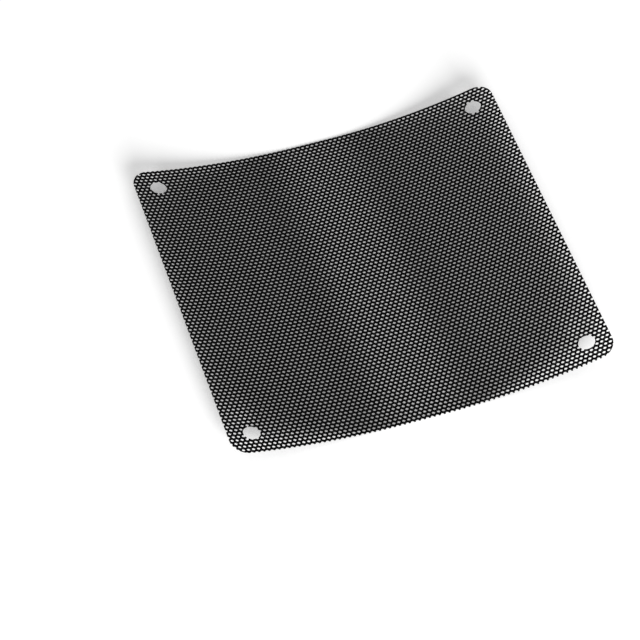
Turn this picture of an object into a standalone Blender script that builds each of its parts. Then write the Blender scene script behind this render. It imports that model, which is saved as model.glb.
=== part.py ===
"""Perforated PVC dust filter for a 120 mm case fan, lying on a table with the curl of its roll.

The filter is one piece of perforated film, die-cut to a square with rounded corners and a screw
hole at each corner. It is laid out flat, as the die cuts it, and then curled.
Metres, +Z up. X runs across the curl and Y along it. The origin is at the middle of the base.
"""

import math

import bmesh
import bpy
from mathutils import Matrix, Vector

# The blank that the die cuts, measured flat
SIDE = 0.120
THICKNESS = 0.00045
CORNER_RADIUS = 0.0055
SCREW_SPACING = 0.105
SCREW_HOLE_DIAMETER = 0.0053

# The perforation of the film: rows of round holes along X, each row set over by half a pitch
PERFORATION_PITCH = 0.0015
PERFORATION_DIAMETER = 0.00105

# One gap of the model stands for a patch of perforation that is this many pitches across
PITCHES_PER_GAP = 7.5

# Whole film between the gaps and the cut edge, and round each screw hole
EDGE_BORDER = 0.0020
SCREW_BORDER = 0.0012

# The curl that the roll left in the film: a strip that lies flat, and an arc up each side
BELLY_WIDTH = 0.010
LEFT_CURL_RADIUS = 0.213
RIGHT_CURL_RADIUS = 0.190

# Facets of the round outlines
CORNER_STEPS = 6
SCREW_HOLE_STEPS = 24
GAP_STEPS_PER_CELL_SIDE = 2

# How far the die passes through both faces of the film, and how close two points count as one
DIE_OVERRUN = 0.002
WELD_DISTANCE = 0.000001

FILM_COLOUR = (0.012, 0.012, 0.013, 1.0)
FILM_ROUGHNESS = 0.45

CELL_SIDES = 6
CELL_WIDTH = PERFORATION_PITCH * PITCHES_PER_GAP
GAP_DIAMETER = PERFORATION_DIAMETER * PITCHES_PER_GAP
ROW_SPACING = CELL_WIDTH * math.sqrt(3) / 2


def clear_scene():
    for obj in list(bpy.data.objects):
        bpy.data.objects.remove(obj, do_unlink=True)


def film_material():
    material = bpy.data.materials.new("black_pvc_film")
    material.use_nodes = True
    shader = material.node_tree.nodes["Principled BSDF"]
    shader.inputs["Base Color"].default_value = FILM_COLOUR
    shader.inputs["Roughness"].default_value = FILM_ROUGHNESS
    shader.inputs["Metallic"].default_value = 0.0
    return material


def mesh_object(name, bm):
    mesh = bpy.data.meshes.new(name)
    bm.to_mesh(mesh)
    bm.free()
    obj = bpy.data.objects.new(name, mesh)
    bpy.context.scene.collection.objects.link(obj)
    return obj


def thicken(bm, height):
    """Turns a sheet at Z 0 into a closed slab of that height, half of it above Z 0."""
    made = bmesh.ops.extrude_face_region(bm, geom=bm.faces[:], use_keep_orig=True)
    top = [item for item in made["geom"] if isinstance(item, bmesh.types.BMVert)]
    bmesh.ops.translate(bm, verts=bm.verts, vec=(0, 0, -height / 2))
    bmesh.ops.translate(bm, verts=top, vec=(0, 0, height))
    bmesh.ops.recalc_face_normals(bm, faces=bm.faces)


def ring_points(centre, diameter, steps, first_angle=0.0):
    """Points round a circle, counter-clockwise."""
    points = []
    for step in range(steps):
        angle = first_angle + 2 * math.pi * step / steps
        points.append(centre + Vector((math.cos(angle), math.sin(angle))) * diameter / 2)
    return points


def screw_centres():
    half = SCREW_SPACING / 2
    return [Vector((x, y)) for x in (-half, half) for y in (-half, half)]


def cell_centres():
    """Centres of the honeycomb of cells that covers the blank, with its rows even about the middle."""
    rows = math.ceil(SIDE / 2 / ROW_SPACING) + 1
    columns = math.ceil(SIDE / 2 / CELL_WIDTH) + 1
    for row in range(-rows, rows):
        shift = CELL_WIDTH / 4 * (1 if row % 2 else -1)
        for column in range(-columns, columns + 1):
            yield Vector((column * CELL_WIDTH + shift, (row + 0.5) * ROW_SPACING))


def has_gap(centre):
    """Whether a cell's gap is clear of the blank's border and of the screw holes."""
    reach = max(abs(centre.x), abs(centre.y)) + GAP_DIAMETER / 2
    if reach > SIDE / 2 - EDGE_BORDER:
        return False
    land = (SCREW_HOLE_DIAMETER + GAP_DIAMETER) / 2 + SCREW_BORDER
    return all((centre - screw).length > land for screw in screw_centres())


def add_cell(bm, centre):
    """One cell of film: a hexagon, whole or with a round gap in its middle."""
    corner_angle = math.pi / CELL_SIDES
    corner_circle = CELL_WIDTH / math.cos(corner_angle)
    corners = [
        bm.verts.new((*point, 0))
        for point in ring_points(centre, corner_circle, CELL_SIDES, corner_angle)
    ]
    if not has_gap(centre):
        bm.faces.new(corners)
        return
    gap_steps = CELL_SIDES * GAP_STEPS_PER_CELL_SIDE
    gap = [
        bm.verts.new((*point, 0))
        for point in ring_points(centre, GAP_DIAMETER, gap_steps, corner_angle)
    ]
    for side in range(CELL_SIDES):
        start = side * GAP_STEPS_PER_CELL_SIDE
        arc = [gap[(start + step) % gap_steps] for step in range(GAP_STEPS_PER_CELL_SIDE + 1)]
        bm.faces.new([corners[side], corners[(side + 1) % CELL_SIDES], *reversed(arc)])


def perforated_film():
    """A flat web of film, larger than the blank, with an edge along both sides of the belly."""
    bm = bmesh.new()
    for centre in cell_centres():
        add_cell(bm, centre)
    bmesh.ops.remove_doubles(bm, verts=bm.verts, dist=WELD_DISTANCE)
    for belly_side in (-BELLY_WIDTH / 2, BELLY_WIDTH / 2):
        bmesh.ops.bisect_plane(
            bm,
            geom=bm.verts[:] + bm.edges[:] + bm.faces[:],
            dist=WELD_DISTANCE,
            plane_co=(belly_side, 0, 0),
            plane_no=(1, 0, 0),
        )
    thicken(bm, THICKNESS)
    return mesh_object("dust_filter", bm)


def blank_outline():
    """The outline of the blank, counter-clockwise, with an arc at each corner."""
    reach = SIDE / 2 - CORNER_RADIUS
    points = []
    for quarter, corner in enumerate(((1, 1), (-1, 1), (-1, -1), (1, -1))):
        centre = Vector(corner) * reach
        for step in range(CORNER_STEPS + 1):
            angle = math.pi / 2 * (quarter + step / CORNER_STEPS)
            points.append(centre + Vector((math.cos(angle), math.sin(angle))) * CORNER_RADIUS)
    return points


def cutter(name, outlines, height):
    """A tool for a Boolean: each outline as a slab of that height."""
    bm = bmesh.new()
    for outline in outlines:
        bm.faces.new([bm.verts.new((*point, 0)) for point in outline])
    thicken(bm, height)
    return mesh_object(name, bm)


def apply_boolean(obj, tool, operation):
    """Cuts obj with the tool, keeps the result as its mesh and takes the tool away."""
    modifier = obj.modifiers.new(operation.lower(), "BOOLEAN")
    modifier.operation = operation
    modifier.solver = "EXACT"
    modifier.object = tool
    graph = bpy.context.evaluated_depsgraph_get()
    cut = bpy.data.meshes.new_from_object(obj.evaluated_get(graph))
    obj.modifiers.remove(modifier)
    obj.data = cut
    bpy.data.objects.remove(tool, do_unlink=True)


def die_cut(film):
    """Cuts the blank out of the film and punches its screw holes."""
    height = THICKNESS + 2 * DIE_OVERRUN
    holes = [
        ring_points(centre, SCREW_HOLE_DIAMETER, SCREW_HOLE_STEPS)
        for centre in screw_centres()
    ]
    apply_boolean(film, cutter("die", [blank_outline()], height), "INTERSECT")
    apply_boolean(film, cutter("punches", holes, height), "DIFFERENCE")


def curled(point):
    """Where a point of the flat film goes: its length across the curl and its depth are kept."""
    flat = math.copysign(min(abs(point.x), BELLY_WIDTH / 2), point.x)
    radius = RIGHT_CURL_RADIUS if point.x > 0 else LEFT_CURL_RADIUS
    angle = (point.x - flat) / radius
    arm = radius - point.z
    return Vector((flat + arm * math.sin(angle), point.y, radius - arm * math.cos(angle)))


def curl(mesh):
    """Bends the flat film and sets it down with its belly on Z 0 and its width centred."""
    for vertex in mesh.vertices:
        vertex.co = curled(vertex.co)
    reach = [vertex.co.x for vertex in mesh.vertices]
    base = min(vertex.co.z for vertex in mesh.vertices)
    mesh.transform(Matrix.Translation((-(min(reach) + max(reach)) / 2, 0, -base)))


def build():
    clear_scene()
    film = perforated_film()
    die_cut(film)
    curl(film.data)
    film.data.materials.clear()
    film.data.materials.append(film_material())


build()
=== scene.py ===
"""The fan dust filter as the photograph shows it: its perforated black film on a white table."""
import math

import bpy
import numpy as np
from mathutils import Matrix, Quaternion, Vector
from mathutils.geometry import delaunay_2d_cdt


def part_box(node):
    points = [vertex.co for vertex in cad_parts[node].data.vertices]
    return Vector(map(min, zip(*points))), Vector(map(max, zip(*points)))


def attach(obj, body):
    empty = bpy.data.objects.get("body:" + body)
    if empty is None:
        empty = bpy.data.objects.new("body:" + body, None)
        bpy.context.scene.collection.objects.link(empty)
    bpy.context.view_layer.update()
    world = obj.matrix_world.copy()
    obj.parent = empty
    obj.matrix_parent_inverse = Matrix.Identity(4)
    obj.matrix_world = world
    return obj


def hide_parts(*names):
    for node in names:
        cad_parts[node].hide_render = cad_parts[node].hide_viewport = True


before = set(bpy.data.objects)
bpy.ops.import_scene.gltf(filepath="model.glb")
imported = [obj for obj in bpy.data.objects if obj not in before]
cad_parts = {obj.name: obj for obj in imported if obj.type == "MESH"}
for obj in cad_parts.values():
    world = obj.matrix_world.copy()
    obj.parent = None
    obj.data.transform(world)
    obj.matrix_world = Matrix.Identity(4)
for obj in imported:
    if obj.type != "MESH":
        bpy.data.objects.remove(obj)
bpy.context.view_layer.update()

# The flat blank, as the construction has it
THICKNESS = 0.00045
CORNER_RADIUS = 0.0055
SCREW_SPACING = 0.105
SCREW_HOLE_DIAMETER = 0.0053

# The curl, as the construction has it
BELLY_WIDTH = 0.010
LEFT_CURL_RADIUS = 0.213
RIGHT_CURL_RADIUS = 0.190

# The perforation: close-packed rows along X, a little askew to the blank that is cut from it. The
# real pitch is 1.506 mm, and this one is a little wider to keep the triangles under 200,000
PERFORATION_PITCH = 0.001544
PERFORATION_DIAMETER = 0.00105
ROW_SPACING = PERFORATION_PITCH * math.sqrt(3) / 2
PERFORATION_TURN = math.radians(0.15)
PERFORATION_SHIFT = Vector((0.08 * PERFORATION_PITCH, 0.14 * ROW_SPACING))

# Each perforation is a hexagon as open as the round hole, its flats towards its six neighbours
HOLE_SIDES = 6
HOLE_RADIUS = PERFORATION_DIAMETER / 2 * math.sqrt(2 * math.pi / (3 * math.sqrt(3)))

# How finely the blank's corners and the screw holes are drawn, and how the film between all the
# outlines is split into triangles: how accurately, and only inside the outlines
CORNER_STEPS = 8
SCREW_HOLE_STEPS = 24
PLAN_ACCURACY = 0.0000001
KEEP_INSIDE = 1
TRIANGLE_CORNERS = 3

# The film's texture map: how far each wall folds into its opening, and the strip between the faces
MAP_NAME = "OFBake"
MAP_WALL = 0.0002
MAP_STRIP = 0.003

# The camera: where it aims on the table, and from where
AIM = Vector((-0.0191, -0.0124, 0.0))
CAMERA_DISTANCE = 0.962
CAMERA_AZIMUTH = math.radians(13.93)
CAMERA_ELEVATION = math.radians(48.64)
CAMERA_ROLL = math.radians(4.09)
CAMERA_LENS_MM = 178.15
SENSOR_MM = 36.0
CAMERA_REACH = 10.0

WHITE = (1.0, 1.0, 1.0, 1.0)

# The film's look: near black, matt, with a fine grain. A pair is the low and the high end of a noise
FILM_TINTS = ((0.0020, 0.0020, 0.0021, 1.0), (0.0032, 0.0032, 0.0033, 1.0))
FILM_ROUGHNESS = (0.60, 0.72)
FILM_SHINE = 0.02
NOISE_SPREAD = (0.35, 0.65)
CLOUD_SCALE = 90.0
SHEEN_SCALE = 700.0
GRAIN_SCALE = 5200.0
GRAIN_STRENGTH = 0.35
GRAIN_HEIGHT = 0.00002
SHARP_ANGLE = math.radians(70)

# The table: white, with a little glow of its own that only a look at it meets
TABLE_SIDE = 3.0
TABLE_COLOUR = (0.93, 0.93, 0.93, 1.0)
TABLE_GLOW = 0.24

# The light: a pale dome and a wide lamp in front of the film, so low that little of its light gets
# through the perforation to the table beneath
DOME_STRENGTH = 0.40
LAMP_PLACE = Vector((0.0, -2.5, 0.9))
LAMP_WIDTH = 1.2
LAMP_POWER = 115.0


def blank_outline(side):
    """The blank's outline, counter-clockwise."""
    reach = side / 2 - CORNER_RADIUS
    points = []
    for quarter, corner in enumerate(((1, 1), (-1, 1), (-1, -1), (1, -1))):
        for step in range(CORNER_STEPS + 1):
            angle = math.pi / 2 * (quarter + step / CORNER_STEPS)
            arc = Vector((math.cos(angle), math.sin(angle))) * CORNER_RADIUS
            points.append(Vector(corner) * reach + arc)
    return points


def ring(centre, radius, steps, first_angle=0.0):
    """Points round a circle, counter-clockwise."""
    angles = [first_angle + 2 * math.pi * step / steps for step in range(steps)]
    return [centre + Vector((math.cos(angle), math.sin(angle))) * radius for angle in angles]


def screw_holes():
    """The outline of each screw hole."""
    half = SCREW_SPACING / 2
    centres = [Vector((x, y)) for x in (-half, half) for y in (-half, half)]
    return [ring(centre, SCREW_HOLE_DIAMETER / 2, SCREW_HOLE_STEPS) for centre in centres]


def perforations(side):
    """The outline of each perforation that meets the blank, whole or cut by its edge."""
    rows = math.ceil(side / 2 / ROW_SPACING)
    columns = math.ceil(side / 2 / PERFORATION_PITCH) + 1
    reach = side / 2 + HOLE_RADIUS
    turn = Matrix.Rotation(PERFORATION_TURN, 2)
    first_angle = PERFORATION_TURN + math.pi / HOLE_SIDES
    holes = []
    for row in range(-rows, rows + 1):
        shift = PERFORATION_PITCH / 2 * (row % 2)
        for column in range(-columns, columns + 1):
            straight = Vector((column * PERFORATION_PITCH + shift, row * ROW_SPACING))
            centre = turn @ straight + PERFORATION_SHIFT
            if max(abs(centre.x), abs(centre.y)) < reach:
                holes.append(ring(centre, HOLE_RADIUS, HOLE_SIDES, first_angle))
    return holes


def film_plan(side):
    """The flat film seen from above: its points, and its triangles between every outline."""
    outlines = [blank_outline(side), *screw_holes(), *perforations(side)]
    points = []
    polygons = []
    for outline in outlines:
        polygons.append(list(range(len(points), len(points) + len(outline))))
        points.extend(outline)
    plan = delaunay_2d_cdt(points, [], polygons, KEEP_INSIDE, PLAN_ACCURACY, True)
    places, _, triangles, _, _, origins = plan
    # The blank is the first outline, and the film lies in that one and in no other
    in_blank_only = [0]
    faces = [face for face, origin in zip(triangles, origins) if list(origin) == in_blank_only]
    used, film = np.unique(faces, return_inverse=True)
    return np.array([places[index] for index in used]), film.reshape(-1, TRIANGLE_CORNERS)


def curled(flat):
    """Bends flat points across X, keeping their length and their height over the film's middle."""
    across, along, height = flat.T
    belly = np.clip(across, -BELLY_WIDTH / 2, BELLY_WIDTH / 2)
    radius = np.where(across > 0, RIGHT_CURL_RADIUS, LEFT_CURL_RADIUS)
    angle = (across - belly) / radius
    arm = radius - height
    return np.stack([belly + arm * np.sin(angle), along, radius - arm * np.cos(angle)], axis=1)


def film_mesh(side, middle_x, base_z):
    """The film as a closed solid: both faces, and a wall round every outline."""
    plan, top = film_plan(side)
    count = len(plan)
    bottom = top[:, ::-1] + count
    edges = np.concatenate([top[:, [0, 1]], top[:, [1, 2]], top[:, [2, 0]]])
    both_ways = {tuple(edge) for edge in edges}
    rims = np.array([edge for edge in both_ways if edge[::-1] not in both_ways])
    rims = rims[np.lexsort((rims[:, 1], rims[:, 0]))]
    walls = np.stack([rims[:, 1], rims[:, 0], rims[:, 0] + count, rims[:, 1] + count], axis=1)
    upper = np.column_stack([plan, np.full(count, THICKNESS / 2)])
    lower = np.column_stack([plan, np.full(count, -THICKNESS / 2)])
    points = curled(np.concatenate([upper, lower]))
    points[:, 0] += middle_x - (points[:, 0].min() + points[:, 0].max()) / 2
    points[:, 2] += base_z - points[:, 2].min()
    mesh = bpy.data.meshes.new("perforated_film")
    mesh.from_pydata(points.tolist(), [], top.tolist() + bottom.tolist() + walls.tolist())
    mesh.validate()
    mesh.shade_smooth()
    mesh.set_sharp_from_angle(angle=SHARP_ANGLE)
    lay_out_map(mesh, plan, rims)
    return mesh


def wall_folds(plan, rims):
    """For each point of the plan, the short step from the film into the opening beside it."""
    along = plan[rims[:, 1]] - plan[rims[:, 0]]
    away = np.stack([along[:, 1], -along[:, 0]], axis=1)
    away /= np.linalg.norm(away, axis=1, keepdims=True)
    folds = np.zeros_like(plan)
    for end in rims.T:
        np.add.at(folds, end, away)
    return folds * MAP_WALL / np.linalg.norm(folds, axis=1, keepdims=True)


def lay_out_map(mesh, plan, rims):
    """Maps the film flat: its two faces side by side, the walls in the openings of the upper one."""
    point = np.empty(len(mesh.loops), dtype=int)
    mesh.loops.foreach_get("vertex_index", point)
    corners = np.empty(len(mesh.polygons), dtype=int)
    mesh.polygons.foreach_get("loop_total", corners)
    lower = point >= len(plan)
    point %= len(plan)
    wall_foot = lower & np.repeat(corners > TRIANGLE_CORNERS, corners)
    underside = lower & ~wall_foot
    place = plan[point]
    place[wall_foot] += wall_folds(plan, rims)[point[wall_foot]]
    place[underside, 0] = np.ptp(plan[:, 0]) + MAP_STRIP - place[underside, 0]
    place -= place.min(axis=0)
    layer = mesh.uv_layers.new(name=MAP_NAME)
    layer.uv.foreach_set("vector", (place / place.max(axis=0)).astype(np.float32).ravel())


def film_material():
    """Matt black PVC film with a fine calendered grain."""
    material = bpy.data.materials.new("black_pvc_film")
    material.use_nodes = True
    nodes, links = material.node_tree.nodes, material.node_tree.links
    shader = nodes["Principled BSDF"]
    shader.inputs["Specular IOR Level"].default_value = FILM_SHINE
    place = nodes.new("ShaderNodeTexCoord").outputs["Object"]

    def noise(scale):
        node = nodes.new("ShaderNodeTexNoise")
        node.inputs["Scale"].default_value = scale
        links.new(place, node.inputs["Vector"])
        return node.outputs["Fac"]

    def ramp(value, low, high):
        node = nodes.new("ShaderNodeMapRange")
        node.inputs["From Min"].default_value, node.inputs["From Max"].default_value = NOISE_SPREAD
        node.inputs["To Min"].default_value = low
        node.inputs["To Max"].default_value = high
        links.new(value, node.inputs["Value"])
        return node.outputs["Result"]

    tint = nodes.new("ShaderNodeMix")
    tint.data_type = "RGBA"
    links.new(ramp(noise(CLOUD_SCALE), 0.0, 1.0), tint.inputs["Factor"])
    tint.inputs["A"].default_value, tint.inputs["B"].default_value = FILM_TINTS
    links.new(tint.outputs["Result"], shader.inputs["Base Color"])
    links.new(ramp(noise(SHEEN_SCALE), *FILM_ROUGHNESS), shader.inputs["Roughness"])
    bump = nodes.new("ShaderNodeBump")
    bump.inputs["Strength"].default_value = GRAIN_STRENGTH
    bump.inputs["Distance"].default_value = GRAIN_HEIGHT
    links.new(noise(GRAIN_SCALE), bump.inputs["Height"])
    links.new(bump.outputs["Normal"], shader.inputs["Normal"])
    return material


def add_film():
    """Puts the perforated film where the construction has its sheet."""
    low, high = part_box("dust_filter")
    mesh = film_mesh(high[1] - low[1], (low[0] + high[0]) / 2, low[2])
    mesh.materials.append(film_material())
    film = bpy.data.objects.new("perforated_film", mesh)
    bpy.context.scene.collection.objects.link(film)
    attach(film, "root")
    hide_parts("dust_filter")


def seen(tree):
    """1 for a ray from the camera, a reflection or a refraction, and 0 for a ray that only lights."""
    path = tree.nodes.new("ShaderNodeLightPath")
    total = path.outputs["Is Camera Ray"]
    for kind in ("Is Glossy Ray", "Is Transmission Ray"):
        either = tree.nodes.new("ShaderNodeMath")
        either.operation = "MAXIMUM"
        tree.links.new(total, either.inputs[0])
        tree.links.new(path.outputs[kind], either.inputs[1])
        total = either.outputs["Value"]
    return total


def level_when_seen(tree, unseen_level, seen_level):
    """A strength that differs between a ray that looks and a ray that only lights."""
    level = tree.nodes.new("ShaderNodeMapRange")
    level.inputs["To Min"].default_value = unseen_level
    level.inputs["To Max"].default_value = seen_level
    tree.links.new(seen(tree), level.inputs["Value"])
    return level.outputs["Result"]


def add_table():
    """A white table top that keeps the film's shadow."""
    material = bpy.data.materials.new("white_table")
    material.use_nodes = True
    tree = material.node_tree
    shader = tree.nodes["Principled BSDF"]
    shader.inputs["Base Color"].default_value = TABLE_COLOUR
    shader.inputs["Roughness"].default_value = 1.0
    shader.inputs["Specular IOR Level"].default_value = 0.0
    shader.inputs["Emission Color"].default_value = WHITE
    tree.links.new(level_when_seen(tree, 0.0, TABLE_GLOW), shader.inputs["Emission Strength"])
    half = TABLE_SIDE / 2
    corners = [(-half, -half, 0), (half, -half, 0), (half, half, 0), (-half, half, 0)]
    mesh = bpy.data.meshes.new("table")
    mesh.from_pydata(corners, [], [(0, 1, 2, 3)])
    mesh.materials.append(material)
    table = bpy.data.objects.new("table", mesh)
    bpy.context.scene.collection.objects.link(table)


def add_dome():
    """A pale even dome for the light, which is seen as white."""
    world = bpy.data.worlds.new("studio")
    bpy.context.scene.world = world
    world.use_nodes = True
    tree = world.node_tree
    background = tree.nodes["Background"]
    background.inputs["Color"].default_value = WHITE
    tree.links.new(level_when_seen(tree, DOME_STRENGTH, 1.0), background.inputs["Strength"])


def add_lamp():
    """A wide round lamp that points at the film."""
    light = bpy.data.lights.new("front_lamp", "AREA")
    light.shape = "DISK"
    light.size = LAMP_WIDTH
    light.energy = LAMP_POWER
    lamp = bpy.data.objects.new("front_lamp", light)
    lamp.location = LAMP_PLACE
    lamp.rotation_euler = (-LAMP_PLACE).to_track_quat("-Z", "Y").to_euler()
    bpy.context.scene.collection.objects.link(lamp)


def add_camera():
    """A long lens at the place that the photograph was taken from."""
    camera = bpy.data.cameras.new("camera")
    camera.lens = CAMERA_LENS_MM
    camera.sensor_width = SENSOR_MM
    camera.clip_end = CAMERA_REACH
    level = math.cos(CAMERA_ELEVATION)
    towards = Vector((
        level * math.sin(CAMERA_AZIMUTH),
        level * math.cos(CAMERA_AZIMUTH),
        -math.sin(CAMERA_ELEVATION),
    ))
    holder = bpy.data.objects.new("camera", camera)
    holder.location = AIM - towards * CAMERA_DISTANCE
    holder.rotation_mode = "QUATERNION"
    holder.rotation_quaternion = towards.to_track_quat("-Z", "Y") @ Quaternion((0, 0, 1), -CAMERA_ROLL)
    bpy.context.scene.collection.objects.link(holder)
    bpy.context.scene.camera = holder


add_film()
add_table()
add_dome()
add_lamp()
add_camera()
bpy.context.scene.view_settings.view_transform = "Standard"
